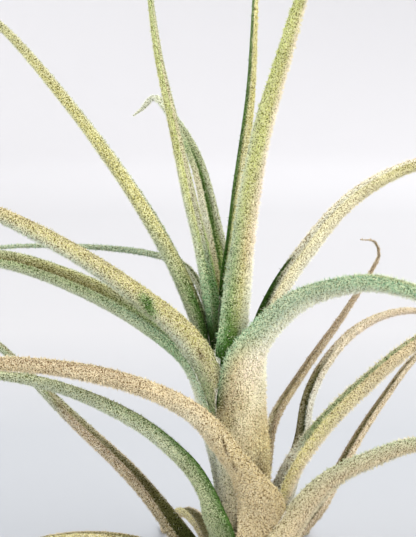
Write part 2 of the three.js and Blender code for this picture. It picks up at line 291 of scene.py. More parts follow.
def root_wire(turn, length, curl, seed):
    """Rings of one root: a thin round wire that thins and wanders as it goes out, and its end points."""
    start = outward(turn) * ROOT_START + np.array([0, 0, ROOT_HEIGHT])
    middle = start + outward(turn) * length * ROOT_STRAIGHT
    end = middle + outward(turn + curl) * length * (1 - ROOT_STRAIGHT)
    line, heading, along = curve_through(np.array([start, middle, end]), ROOT_GAP)
    share = along / along[-1]
    side = unit(np.cross(heading, [0, 0, 1]))
    up = np.cross(side, heading)
    line = line + side * (ROOT_WANDER * np.sin(along * 1.3 + seed) * share)[:, None]
    radius = ROOT_RADIUS * (1 - ROOT_THINS * share) * (1 + ROOT_LUMPS * np.sin(along * 2.9 + seed))
    line[:, 2] = np.maximum(radius, line[:, 2] - ROOT_SINKS * share)
    turns = np.linspace(0, 2 * np.pi, ROOT_SIDES, endpoint=False)[None, :, None]
    spread = side[:, None] * np.cos(turns) + up[:, None] * np.sin(turns)
    return line[:, None] + spread * radius[:, None, None], line[0], line[-1] + heading[-1] * radius[-1]


stem_curve = np.array(STEM_PROFILE[1:-1])
stem_heights = np.arange(stem_curve[0, 1], stem_curve[-1, 1], STEM_STEP)
stem_rows = [(stem_radius(height), height) for height in stem_heights]
stem_top = STEM_PROFILE[-1][1]
stem_profile = [(0, 0), (0.9 * stem_curve[0, 0], 0), *stem_rows, tuple(stem_curve[-1]), (0, stem_top)]
stem = turned("stem_wood", [(r * MM, z * MM) for r, z in stem_profile], STEM_SIDES, stem_swell)

root_places = []
root_faces = []
for order, (turn, length, curl) in enumerate(ROOTS):
    rings, first, last = root_wire(turn, length, curl, order)
    base = len(root_places)
    root_places += (np.vstack([rings.reshape(-1, 3), first, last]) * MM).tolist()
    start_pole = base + len(rings) * ROOT_SIDES
    last_row = start_pole - ROOT_SIDES
    for i in range(ROOT_SIDES):
        j = (i + 1) % ROOT_SIDES
        for low in range(base, last_row, ROOT_SIDES):
            high = low + ROOT_SIDES
            root_faces.append([low + i, high + i, high + j, low + j])
        root_faces.append([start_pole, base + i, base + j])
        root_faces.append([start_pole + 1, last_row + j, last_row + i])
roots = mesh_object("roots", root_places, root_faces)


def maths(tree, operation, *values):
    """Output of a Math node on sockets and plain values."""
    return add_node(tree, "ShaderNodeMath", dict(enumerate(values)), operation=operation).outputs[0]


def noise(tree, place, scale, detail, **values):
    """Outputs of a noise, with its scale in waves to a metre."""
    inputs = {"Vector": place, "Scale": scale, "Detail": detail, **values}
    return add_node(tree, "ShaderNodeTexNoise", inputs).outputs


bark, bark_shader = new_material("stem_bark", Roughness=0.85, Specular_IOR_Level=0.25)
bark_tree = bark.node_tree
bark_place = add_node(bark_tree, "ShaderNodeTexCoord").outputs["Object"]
bark_stretch = add_node(bark_tree, "ShaderNodeMapping", {"Vector": bark_place, "Scale": BARK_STRETCH})
bark_fibre = noise(bark_tree, bark_stretch.outputs[0], BARK_FIBRE_SCALE, 4.0, Roughness=0.65)["Fac"]
bark_patch = noise(bark_tree, bark_place, BARK_PATCH_SCALE, 3.0)["Fac"]
bark_shade = ranged(bark_tree, maths(bark_tree, "ADD", bark_fibre, bark_patch), *BARK_RANGE)
bark_colour = mix_colours(bark_tree, bark_shade, BARK_DARK, BARK_LIGHT)
bark_bump = add_node(
    bark_tree, "ShaderNodeBump", {"Height": bark_fibre, "Strength": 0.8, "Distance": 0.2 * MM},
)
bark_tree.links.new(bark_colour, bark_shader.inputs["Base Color"])
bark_tree.links.new(bark_bump.outputs[0], bark_shader.inputs["Normal"])
for part in (stem, roots):
    part.data.materials.append(bark)
    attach(part, "root")
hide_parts("stem")


# The outer leaves at the front of the column: a broad one that arches over to the right, and two that arch
# out to the left. Each leaf is one thick blade that clasps the stem with its base and rolls into a channel,
# and a dense felt of pale scales grows on both faces. Where two bases meet, the inner one gives way.
CLEARANCE = 0.3  # millimetres between a leaf and the stem
CORE_SIDES = 32
TOUCHING = 0.12  # millimetres between two leaf bases
MIDRIB = 1.15
MARGIN = 0.62
OPENED = math.radians(72)  # half of the angle of a blade's section where it leaves the column
ROLLED = math.radians(114)  # half of that angle where the blade is rolled into a channel
COLUMN = 7.0
TIP = 0.14
TAPER = 0.6
ROLLED_BY = 0.35
SET_BACK = 0.65
FILLED = 0.88
PORE = 0.06
LIFT_OFF = 9.0
TURN_FROM = 0.6
OPEN_FROM = 0.7
OPEN_BY = 0.6
BOW_REACH = 50.0
RING_GAP = 1.8
STRIPS = 18  # faces across each face of a leaf
EDGE_BULGE = 0.3
FOLD_COUNT = 7  # faint folds that run the length of a leaf
FOLD_DEPTH = 0.05
FOLD_SHARE = 0.04  # most that a fold may take of a section's radius
FOLD_DRIFT = 17.0
WAVE_DEPTH = 0.035  # share by which the blade's width wanders
LONG_WAVE = 6.1
SHORT_WAVE = 2.7
SHARP = math.radians(50)
DOWN_PER_MM2 = 12.0
DOWN_LENGTH = 0.42
DOWN_WIDTH = 0.19
DOWN_FLATNESS = 0.35
DOWN_SUNK = 0.06
DOWN_KEEP_OFF = 0.45  # scales stay this far from a neighbouring leaf, in millimetres
DOWN_TILT = (math.radians(12), math.radians(68))  # from straight out to nearly flat
DOWN_SIZES = (0.6, 1.5)
DOWN_LIFTED = (0.35, 1.0)  # there are no scales where a leaf lies on the surface, in millimetres above it
UV_SPREAD = 0.012
CHANNEL_DOWN = 0.5  # share of the scales that grow in the channel
LEAST_DOWN = 0.12  # share of the scales that grow where the leaf's tone, painted shade included, is darkest
FELTED = (0.08, 0.36)  # lightness of a leaf that has the fewest scales, and of one that has them all
LIGHTNESS = np.array([0.2126, 0.7152, 0.0722])
MARK_CORE = 0.4  # share of a mark's size over which its tone is full
PLAIN_LEAF = {"wrap": 44, "roll": 0, "bow": 0, "downy": 1.0, "shaggy": 1.0, "marks": []}

# The tones also paint light and shade: the leaf tables below lay dark ones where a leaf lies in shadow and
# pale ones where its shade is lifted.
TONES = {  # what a leaf looks like with its scales on, from a step away
    "pale": (238, 240, 226),
    "blush": (244, 230, 214),
    "cream": (226, 216, 188),
    "ivory": (214, 212, 170),
    "rose": (218, 202, 190),
    "sand": (218, 200, 164),
    "straw": (200, 192, 114),
    "tan": (200, 180, 136),
    "hay": (180, 176, 104),
    "lime": (184, 190, 104),
    "ochre": (188, 168, 112),
    "brass": (160, 154, 100),
    "umber": (158, 134, 98),
    "olive": (116, 110, 62),
    "frost": (196, 206, 186),
    "sage": (160, 172, 134),
    "glaucous": (148, 172, 146),
    "jade": (138, 178, 142),
    "spruce": (120, 160, 124),
    "fern": (116, 168, 118),
    "teal": (84, 144, 96),
    "spring": (148, 194, 52),
    "mint": (128, 198, 122),
    "leaf": (132, 158, 98),
    "moss": (100, 138, 66),
    "deep": (64, 104, 34),
    "dusk": (46, 76, 16),
    "bark": (92, 72, 38),
}


def linear(colour):
    """Linear light values of an 8-bit colour."""
    value = np.asarray(colour) / 255
    return np.where(value <= 0.04045, value / 12.92, ((value + 0.055) / 1.055) ** 2.4)


def middle_line(leaf):
    """The line that a leaf follows, the directions across and inward at each place, and the length run."""
    root = outward(leaf["seat"]) * (stem_radius(leaf["rise"]) + CLEARANCE + MIDRIB)
    root[2] = leaf["rise"]
    out, up = np.array(leaf["path"], float).T
    swing = leaf["side"] + leaf["bow"] * (out / BOW_REACH) ** 2
    blade = outward(leaf["heads"]) * out[:, None] + outward(leaf["heads"] + 90) * swing[:, None]
    blade[:, 2] = up
    points, heading, along = curve_through(np.vstack([root, blade]), RING_GAP)
    turn = (leaf["heads"] - leaf["seat"] + 180) % 360 - 180
    freeing = LIFT_OFF + leaf["clasp"] / 2
    free = smooth_step(along, leaf["clasp"] * TURN_FROM, leaf["clasp"] + freeing)
    across = outward(leaf["seat"] + turn * free + 90)
    across = unit(across - heading * np.sum(across * heading, axis=1)[:, None])
    roll = -np.radians(leaf["roll"] * free)[:, None]
    across = across * np.cos(roll) + np.cross(heading, across) * np.sin(roll)
    return points, heading, across, np.cross(heading, across), along


def leaf_rings(leaf, grow):
    """Rings of corners round a leaf: the outer face from edge to edge, one corner on the edge, the inner
    face back, and one on the other edge. A grown leaf is larger all round. Also the length run at each."""
    points, heading, across, inward, along = middle_line(leaf)
    clasp = leaf["clasp"]
    share = np.clip((along - clasp) / (along[-1] - clasp), 0, 1)
    wave = 0.6 * np.sin(along / LONG_WAVE + leaf["seat"])
    wave += 0.4 * np.sin(along / SHORT_WAVE + 2 * leaf["rise"])
    half_width = leaf["half"] * (1 - share) ** TAPER * (1 + WAVE_DEPTH * wave)
    blade_angle = OPENED + (ROLLED - OPENED) * smooth_step(share, 0, ROLLED_BY)
    blade_radius = np.maximum(half_width / blade_angle, TIP)
    column = np.minimum(np.hypot(points[:, 0], points[:, 1]), COLUMN)
    unclasped = smooth_step(along, clasp * OPEN_FROM, clasp + (LIFT_OFF + clasp / 2) * OPEN_BY)
    radius = column + (blade_radius - column) * unclasped
    angle = math.radians(leaf["wrap"]) * (1 - unclasped) + blade_angle * unclasped
    back = points - inward * (SET_BACK * radius * unclasped)[:, None]
    back[0] -= heading[0] * grow
    back[-1] += heading[-1] * grow
    centre = back + inward * radius[:, None]

    spread = np.linspace(-1, 1, STRIPS + 1)
    widest = angle + grow / radius
    bend = widest[:, None] * spread
    thickness = np.minimum(MIDRIB + (MARGIN - MIDRIB) * spread**2, (radius * FILLED)[:, None])
    drift = np.sin(along / FOLD_DRIFT + leaf["seat"])[:, None]
    fold = np.cos(FOLD_COUNT * np.pi * spread + drift) - 1
    fold = fold * np.minimum(FOLD_DEPTH, FOLD_SHARE * radius)[:, None] * (1 - spread**2)
    outer = radius[:, None] + grow + fold
    inner = np.maximum(radius[:, None] - thickness - grow, radius[:, None] * PORE)
    direction = -np.cos(bend)[..., None] * inward[:, None] + np.sin(bend)[..., None] * across[:, None]
    outer_arc = centre[:, None] + direction * outer[..., None]
    inner_arc = centre[:, None] + direction * inner[..., None]
    edges = []
    for end, way in ((-1, 1), (0, -1)):
        middle = (outer_arc[:, end] + inner_arc[:, end]) / 2
        beyond = inward * np.sin(bend[:, end])[:, None] * way + across * np.cos(bend[:, end])[:, None] * way
        wide = np.linalg.norm(outer_arc[:, end] - inner_arc[:, end], axis=1)
        edges.append((middle + beyond * (EDGE_BULGE * wide)[:, None])[:, None])
    return np.concatenate([outer_arc, edges[0], inner_arc[:, ::-1], edges[1]], axis=1), along


def leaf_faces(count):
    """Faces of the skin of a row of rings, closed at both ends, with the outside out."""
    size = 2 * STRIPS + 4
    inner = 2 * STRIPS + 2
    faces = []
    for k in range(count - 1):
        low = k * size
        for i in range(size):
            j = (i + 1) % size
            faces.append([low + i, low + j, low + size + j, low + size + i])
    cap = [[i + 1, i, inner - i, inner - i - 1] for i in range(STRIPS)]
    cap += [[STRIPS + 1, STRIPS, STRIPS + 2], [0, size - 1, inner]]
    last = (count - 1) * size
    return faces + cap + [[last + i for i in reversed(face)] for face in cap]


def across_colours(names, spots):
    """Colours at spots from -1 to 1 across a leaf, between named tones set evenly from edge to edge."""
    row = np.array([linear(TONES[name]) for name in names.split()])
    return np.stack([np.interp(spots, np.linspace(-1, 1, len(row)), row[:, c]) for c in range(3)], axis=1)


def face_colours(stops, share, spots):
    """Colours [ring, corner] of a face, from tones given at some shares of the leaf's length."""
    rows = np.array([across_colours(names, spots) for _, names in stops])
    at = np.interp(share, [stop[0] for stop in stops], range(len(stops)))
    low = np.minimum(at.astype(int), max(len(stops) - 2, 0))
    high = np.minimum(low + 1, len(stops) - 1)
    t = (at - low)[:, None, None]
    return rows[low] * (1 - t) + rows[high] * t


def largest_body(mesh):
    """Leaves only the largest connected body of a mesh."""
    work = bmesh.new()
    work.from_mesh(mesh)
    waiting = set(work.verts)
    bodies = []
    while waiting:
        body = []
        reached = [waiting.pop()]
        while reached:
            corner = reached.pop()
            body.append(corner)
            for edge in corner.link_edges:
                other = edge.other_vert(corner)
                if other in waiting:
                    waiting.remove(other)
                    reached.append(other)
        bodies.append(body)
    bodies.sort(key=len)
    bmesh.ops.delete(work, geom=[corner for body in bodies[:-1] for corner in body], context="VERTS")
    work.to_mesh(mesh)
    work.free()


def plain_mesh(thing):
    """The mesh that an object's modifiers make of it."""
    graph = bpy.context.evaluated_depsgraph_get()
    return bpy.data.meshes.new_from_object(thing.evaluated_get(graph), depsgraph=graph)


# Shader group: the scales that lie flat on the leaf tissue, as small warped grains with darker tissue
# between them, darkened further by painted shade in the gaps, faint streaks along the leaf and slow changes
# of tone.
GRAIN_SIZE = 0.22 * MM
GRAIN_WARP = 1.5  # in grains
GRAIN_EDGE = (0.63, 0.5)  # distances from a grain's middle over which the gap turns to grain
GRAIN_LUCK = (0.2, 1.7)  # how much paler or darker than the others a single grain is
NOISE_REACH = (0.3, 0.7)  # most of a noise's values lie between these
STREAK_COUNTS = (64.0, 3.0, 1.0)  # across a leaf's skin, and along it
STREAK_SHADES = (0.72, 1.22)
PATCH_SCALE = 170.0
PATCH_SHADES = (0.86, 1.1)
BUMP_HEIGHT = 0.12 * MM


def add_sockets(tree, way, sockets):
    """Gives a node group its named inputs or outputs. Returns the identifier of each."""
    made = {}
    for name, kind in sockets.items():
        socket = tree.interface.new_socket(name, in_out=way, socket_type="NodeSocket" + kind)
        made[name] = socket.identifier
    return made


def attribute(tree, name):
    """Outputs of a node that reads an attribute of the mesh."""
    return add_node(tree, "ShaderNodeAttribute", attribute_name=name).outputs


def shaded(tree, share, colour, shade):
    """A colour multiplied by a grey shade, in part or in full."""
    grey = add_node(tree, "ShaderNodeCombineColor", {0: shade, 1: shade, 2: shade}).outputs[0]
    return mix_colours(tree, share, colour, grey, "MULTIPLY")


scurf = bpy.data.node_groups.new("scurf", "ShaderNodeTree")
add_sockets(scurf, "INPUT", {
    "Tone": "Color", "Scale Colour": "Color", "Gap Tint And Shade": "Color", "Felt": "Float", "Grain Size": "Float",
    "Paleness": "Float", "Streaks": "Float",
})
add_sockets(scurf, "OUTPUT", {"Colour": "Color", "Height": "Float"})
given = add_node(scurf, "NodeGroupInput").outputs
place = add_node(scurf, "ShaderNodeTexCoord").outputs["Object"]
grain_scale = maths(scurf, "DIVIDE", 1.0, given["Grain Size"])
warp = noise(scurf, place, grain_scale, 1.0)["Color"]
warp_centred = vector_maths(scurf, "SUBTRACT", {0: warp, 1: (0.5, 0.5, 0.5)})[0]
warp_size = maths(scurf, "MULTIPLY", given["Grain Size"], GRAIN_WARP)
warp_shift = vector_maths(scurf, "SCALE", {0: warp_centred, "Scale": warp_size})[0]
warped = vector_maths(scurf, "ADD", {0: place, 1: warp_shift})[0]
grains = add_node(scurf, "ShaderNodeTexVoronoi", {"Vector": warped, "Scale": grain_scale})
grain_mask = ranged(scurf, grains.outputs["Distance"], *GRAIN_EDGE)
grain_luck = add_node(scurf, "ShaderNodeSeparateColor", {0: grains.outputs["Color"]}).outputs[0]
grain_luck = ranged(scurf, grain_luck, 0.0, 1.0, *GRAIN_LUCK)
grain_paleness = maths(scurf, "MULTIPLY", given["Paleness"], grain_luck)
grain_paleness = maths(scurf, "MULTIPLY", grain_paleness, given["Felt"])
grain_colour = mix_colours(scurf, grain_paleness, given["Tone"], given["Scale Colour"])
# Painted shade: the gaps between grains are the tone darkened by the gap tint, where the tissue shows and
# shade falls.
gap_tissue_and_shade = mix_colours(scurf, 1.0, given["Tone"], given["Gap Tint And Shade"], "MULTIPLY")
scurfed = mix_colours(scurf, grain_mask, gap_tissue_and_shade, grain_colour)

leaf_uv = attribute(scurf, "OFBake")["Vector"]
streak_place = add_node(scurf, "ShaderNodeMapping", {"Vector": leaf_uv, "Scale": STREAK_COUNTS})
streak_noise = noise(scurf, streak_place.outputs[0], 1.0, 3.0)["Fac"]
streak_shade = ranged(scurf, streak_noise, *NOISE_REACH, *STREAK_SHADES)
patch_noise = noise(scurf, place, PATCH_SCALE, 3.0)["Fac"]
patch_shade = ranged(scurf, patch_noise, *NOISE_REACH, *PATCH_SHADES)
streaked = shaded(scurf, given["Streaks"], scurfed, streak_shade)
patched = shaded(scurf, 1.0, streaked, patch_shade)
add_node(scurf, "NodeGroupOutput", {"Colour": patched, "Height": grain_mask})


def leaf_material(name, look):
    """Felted leaf tissue. The tone of the tissue comes from the mesh, with painted light and shade in it."""
    material, shader = new_material(name, Roughness=0.8, Specular_IOR_Level=0.12)
    tree = material.node_tree
    tone = attribute(tree, "tone")
    cover = add_node(
        tree, "ShaderNodeGroup",
        {
            "Tone": tone["Color"], "Felt": tone["Alpha"], "Scale Colour": look["scales"],
            "Gap Tint And Shade": look["gap_tint_and_shade"], "Grain Size": GRAIN_SIZE, "Paleness": look["paleness"],
            "Streaks": look["streaks"],
        },
        node_tree=scurf,
    )
    bump = add_node(
        tree, "ShaderNodeBump",
        {"Height": cover.outputs["Height"], "Strength": 0.7, "Distance": BUMP_HEIGHT},
    )
    tree.links.new(cover.outputs["Colour"], shader.inputs["Base Color"])
    tree.links.new(bump.outputs[0], shader.inputs["Normal"])
    return material


def down_material(name, look):
    """The scales that stand off the leaf. They take its tone, painted light and shade included, and are
    palest at their tips.
    """
    material, shader = new_material(name, Roughness=0.75, Specular_IOR_Level=0.15, Sheen_Weight=0.5)
    tree = material.node_tree
    luck = ranged(tree, attribute(tree, "shade")["Fac"], 0.3, 1.0, 0.0, 1.6)
    pale = maths(tree, "MULTIPLY", luck, look["down"])
    reach = ranged(tree, attribute(tree, "reach")["Fac"], 0.0, 1.0, 0.75, 1.2)
    pale = maths(tree, "MULTIPLY", pale, reach)
    colour = mix_colours(tree, pale, attribute(tree, "tone")["Color"], look["scales"])
    tree.links.new(colour, shader.inputs["Base Color"])
    return material


FELT_LOOKS = {  # tints of the scales and of the gaps between them, the darker tissue there with painted shade, and how far scales pale a leaf's tone
    "green_leaf": {
        "scales": (0.82, 0.80, 0.52, 1), "gap_tint_and_shade": (0.25, 0.24, 0.12, 1), "paleness": 0.44, "streaks": 0.7,
        "down": 0.42,
    },
    "tan_leaf": {
        "scales": (0.83, 0.76, 0.54, 1), "gap_tint_and_shade": (0.26, 0.2, 0.11, 1), "paleness": 0.46, "streaks": 0.5,
        "down": 0.42,
    },
    "old_leaf": {
        "scales": (0.79, 0.75, 0.63, 1), "gap_tint_and_shade": (0.26, 0.22, 0.13, 1), "paleness": 0.42, "streaks": 0.5,
        "down": 0.36,
    },
}
leaf_finishes = {slot: leaf_material(f"felted_{slot}", look) for slot, look in FELT_LOOKS.items()}
down_finishes = {slot: down_material(f"{slot}_down", look) for slot, look in FELT_LOOKS.items()}


# Geometry nodes: sets thin pointed scales over a leaf, more where the leaf's down value is higher, each with
# its own tilt, spin and size. Scales too near a neighbouring leaf or the stem are left out.
felt = bpy.data.node_groups.new("leaf_down", "GeometryNodeTree")
felt.is_modifier = True
felt_inputs = add_sockets(felt, "INPUT", {
    "Geometry": "Geometry", "Neighbours": "Object", "Per Square Metre": "Float", "Length": "Float",
    "Width": "Float", "Keep Off": "Float", "Seed": "Int", "Finish": "Material",
})
add_sockets(felt, "OUTPUT", {"Geometry": "Geometry"})
given = add_node(felt, "NodeGroupInput").outputs


def named(kind, name):
    """Output of a node that reads a named attribute."""
    node = add_node(felt, "GeometryNodeInputNamedAttribute", {"Name": name}, data_type=kind)
    return node.outputs["Attribute"]


def chance(kind, low, high, seed):
    """Output of a random value between two limits, one for each scale."""
    node = add_node(felt, "FunctionNodeRandomValue", data_type=kind)
    first = {"FLOAT_VECTOR": 0, "FLOAT": 2}[kind]
    node.inputs[first].default_value = low
    node.inputs[first + 1].default_value = high
    node.inputs["Seed"].default_value = seed
    return node.outputs["Value"] if kind == "FLOAT_VECTOR" else node.outputs[1]


def store(geometry, name, value, kind, domain):
    """Geometry with a named attribute written to it."""
    inputs = {"Geometry": geometry, "Name": name, "Value": value}
    kinds = {"data_type": kind, "domain": domain}
    return add_node(felt, "GeometryNodeStoreNamedAttribute", inputs, **kinds).outputs[0]


spots = add_node(
    felt, "GeometryNodeDistributePointsOnFaces",
    {
        "Mesh": given["Geometry"],
        "Density": maths(felt, "MULTIPLY", named("FLOAT", "down"), given["Per Square Metre"]),
        "Seed": given["Seed"],
    },
    distribute_method="RANDOM",
)
neighbours = add_node(felt, "GeometryNodeObjectInfo", {"Object": given["Neighbours"]})
nearness = add_node(
    felt, "GeometryNodeProximity", {0: neighbours.outputs["Geometry"]}, target_element="FACES",
)
too_near = add_node(
    felt, "FunctionNodeCompare", {0: nearness.outputs["Distance"], 1: given["Keep Off"]},
    data_type="FLOAT", operation="LESS_THAN",
)
kept = add_node(
    felt, "GeometryNodeDeleteGeometry",
    {"Geometry": spots.outputs["Points"], "Selection": too_near.outputs[0]}, domain="POINT",
)
cone = add_node(
    felt, "GeometryNodeMeshCone",
    {
        "Vertices": 3, "Radius Top": 0.0, "Radius Bottom": maths(felt, "DIVIDE", given["Width"], 2.0),
        "Depth": given["Length"],
    },
)
cone_spot = add_node(felt, "GeometryNodeInputPosition").outputs[0]
cone_height = add_node(felt, "ShaderNodeSeparateXYZ", {0: cone_spot}).outputs["Z"]
cone_share = maths(felt, "DIVIDE", cone_height, given["Length"])
with_reach = store(cone.outputs["Mesh"], "reach", cone_share, "FLOAT", "POINT")
with_spot = store(with_reach, "spot", cone_spot, "FLOAT_VECTOR", "POINT")
flat = add_node(
    felt, "GeometryNodeTransform",
    {"Geometry": with_spot, "Translation": (0, 0, -DOWN_SUNK * MM), "Scale": (1, DOWN_FLATNESS, 1)},
)
spin = add_node(
    felt, "FunctionNodeEulerToRotation",
    {0: chance("FLOAT_VECTOR", (DOWN_TILT[0], 0, 0), (DOWN_TILT[1], 0, 2 * math.pi), 1)},
)
turned_scale = add_node(
    felt, "FunctionNodeRotateRotation",
    {"Rotation": spots.outputs["Rotation"], "Rotate By": spin.outputs[0]}, rotation_space="LOCAL",
)
placed = add_node(
    felt, "GeometryNodeInstanceOnPoints",
    {
        "Points": kept.outputs[0], "Instance": flat.outputs[0], "Rotation": turned_scale.outputs[0],
        "Scale": chance("FLOAT", *DOWN_SIZES, 2),
    },
)
with_shade = store(placed.outputs[0], "shade", chance("FLOAT", 0.0, 1.0, 3), "FLOAT", "INSTANCE")
real = add_node(felt, "GeometryNodeRealizeInstances", {"Geometry": with_shade}).outputs[0]
uv_share = UV_SPREAD / (DOWN_LENGTH * MM)
uv_shift = vector_maths(felt, "SCALE", {0: named("FLOAT_VECTOR", "spot"), "Scale": uv_share})[0]
uv_place = vector_maths(felt, "ADD", {0: named("FLOAT_VECTOR", "OFBake"), 1: uv_shift})[0]
with_uv = store(real, "OFBake", uv_place, "FLOAT2", "CORNER")
finished = add_node(
    felt, "GeometryNodeSetMaterial", {"Geometry": with_uv, "Material": given["Finish"]},
)
add_node(felt, "NodeGroupOutput", {"Geometry": finished.outputs[0]})

keep_clear = []
crowd = bpy.data.objects.new("crowd", bpy.data.meshes.new("crowd"))
scene.collection.objects.link(crowd)


def join_crowd(mesh):
    """Adds a finished piece to what the next leaves' scales keep away from."""
    work = bmesh.new()
    work.from_mesh(crowd.data)
    work.from_mesh(mesh)
    work.to_mesh(crowd.data)
    work.free()


def grow_down(name, blade, leaf, slot):
    """Grows the scales of one leaf, as a plain mesh of their own."""
    down = bpy.data.objects.new(name.replace("leaf", "down", 1), blade.copy())
    scene.collection.objects.link(down)
    grower = down.modifiers.new("leaf_down", "NODES")
    grower.node_group = felt
    values = {
        "Neighbours": crowd, "Per Square Metre": leaf["downy"] * DOWN_PER_MM2 / MM**2,
        "Length": leaf["shaggy"] * DOWN_LENGTH * MM, "Width": DOWN_WIDTH * MM,
        "Keep Off": DOWN_KEEP_OFF * MM, "Seed": len(keep_clear), "Finish": down_finishes[slot],
    }
    for socket_name, value in values.items():
        grower[felt_inputs[socket_name]] = value
    mesh = plain_mesh(down)
    down.modifiers.remove(grower)
    down.data = mesh
    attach(down, "root")


def grow_leaf(name, slot, leaf, outer, channel):
    """Makes one leaf and its scales. outer and channel give its tones, each as rows of a share of the leaf's
    length and the tones across it, from its right edge to its left edge as seen from the stem. The tones
    hold the leaf's own colours together with painted shade where it lies in shadow and painted light where a
    shaded face is lifted. marks are spots on the outer face, each with its share of the length, place
    across, size and tone."""
    leaf = {**PLAIN_LEAF, **leaf}
    rings, along = leaf_rings(leaf, 0)
    faces = leaf_faces(len(rings))
    piece = mesh_object(name.replace("leaf", "blade", 1), rings.reshape(-1, 3) * MM, faces)
    mesh = piece.data

    spread = np.linspace(-1, 1, STRIPS + 1)
    share = along / along[-1]
    outer_tones = face_colours(outer, share, spread)
    channel_tones = face_colours(channel, share, spread)
    spots = rings[:, :STRIPS + 1]
    for mark_share, mark_across, mark_size, mark_tone in leaf["marks"]:
        row = np.argmin(np.abs(share - mark_share))
        middle = spots[row, round((mark_across + 1) / 2 * STRIPS)]
        away = np.linalg.norm(spots - middle, axis=2)
        near = 1 - smooth_step(away, MARK_CORE * mark_size, mark_size)
        outer_tones += near[..., None] * (linear(TONES[mark_tone]) - outer_tones)
    edges = [(outer_tones[:, end] * 2 + channel_tones[:, end]) / 3 for end in (-1, 0)]
    tones = np.concatenate(
        [outer_tones, edges[0][:, None], channel_tones[:, ::-1], edges[1][:, None]], axis=1,
    )
    # Scales follow the tone's lightness, so they are fewest and least pale where shade is painted dark into
    # it.
    felted = smooth_step(tones @ LIGHTNESS, *FELTED)[..., None]
    tones = np.concatenate([tones, felted], axis=2)
    mesh.attributes.new("tone", "FLOAT_COLOR", "POINT").data.foreach_set("color", tones.ravel())

    opened = smooth_step(along, leaf["clasp"], leaf["clasp"] + LIFT_OFF)
    down = LEAST_DOWN + (1 - LEAST_DOWN) * felted[..., 0]
    down[:, STRIPS + 2:-1] *= (CHANNEL_DOWN * opened)[:, None]
    down *= smooth_step(rings[:, :, 2], *DOWN_LIFTED)
    mesh.attributes.new("down", "FLOAT", "POINT").data.foreach_set("value", down.ravel())

    size = tones.shape[1]
    corners = np.zeros(len(mesh.loops), int)
    mesh.loops.foreach_get("vertex_index", corners)
    around = (corners % size) / size
    starts = np.arange(0, 4 * size * (len(rings) - 1), 4)[size - 1::size]
    for offset in (1, 2):
        around[starts + offset] = 1.0
    uv = np.stack([around, share[corners // size]], axis=1)
    mesh.attributes.new("OFBake", "FLOAT2", "CORNER").data.foreach_set("vector", uv.ravel())

    low, high = rings.min(axis=(0, 1)), rings.max(axis=(0, 1))
    for neighbour, neighbour_low, neighbour_high in keep_clear:
        if np.all(low < neighbour_high) and np.all(high > neighbour_low):
            cut = piece.modifiers.new("cut", "BOOLEAN")
            cut.operation = "DIFFERENCE"
            cut.solver = "MANIFOLD"
            cut.object = neighbour
    mesh = plain_mesh(piece)
    piece.modifiers.clear()
    piece.data = mesh
    largest_body(mesh)
    mesh.shade_smooth()
    mesh.set_sharp_from_angle(angle=SHARP)
    mesh.materials.clear()
    mesh.materials.append(leaf_finishes[slot])

    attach(piece, "root")
    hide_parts(name)
    grow_down(name, mesh, leaf, slot)
    join_crowd(mesh)
    grown, _ = leaf_rings(leaf, TOUCHING)
    cutter = mesh_object("cutter", grown.reshape(-1, 3) * MM, faces)
    keep_clear.append((cutter, grown.min(axis=(0, 1)), grown.max(axis=(0, 1))))


core_top = stem_top + CLEARANCE
core_profile = [(0, -1)] + [(r + CLEARANCE, z) for r, z in STEM_PROFILE[1:-1]] + [(0, core_top)]
core = turned("cutter", [(r * MM, z * MM) for r, z in core_profile], CORE_SIDES)
core_wide = max(r for r, _ in core_profile)
keep_clear.append((core, np.array([-core_wide, -core_wide, -1]), np.array([core_wide, core_wide, core_top])))
join_crowd(stem.data)

grow_leaf(
    "leaf_front_arching", "green_leaf",
    dict(
        seat=-82, rise=13, heads=-29, side=-4.8, clasp=30, wrap=54, half=7.1,
        shaggy=1.5,
        path=[
            (4.4, 24), (4.2, 44), (5.1, 52), (9.7, 57.9), (17, 63.6), (25, 66.4), (33.5, 67.3),
            (50.5, 62.2), (58.5, 53),
        ],
    ),
    [
        # Painted shadow: the bark-brown band near the foot is the shadow line where the left front leaf
        # crosses, and the dusk and spruce that start the rows at about a third of the length are the left
        # upper leaf's shadow. The pale across the underside of the arch is the down's own paleness with
        # painted light that lifts its shade.
        (0.08, "pale cream umber bark bark umber"), (0.14, "pale cream umber bark bark ochre"),
        (0.2, "pale cream sand tan ochre ochre"), (0.25, "umber ochre cream sand tan tan"),
        (0.28, "dusk umber tan cream cream sand"), (0.36, "spruce tan blush blush pale pale"),
        (0.44, "jade glaucous pale pale pale pale"), (0.52, "glaucous glaucous pale pale pale pale"),
        (0.6, "spruce glaucous pale pale pale frost"), (0.75, "spruce jade pale frost frost frost"),
        (1.0, "spruce spruce glaucous frost frost frost"),
    ],
    [(0, "sage"), (1, "leaf")],
)

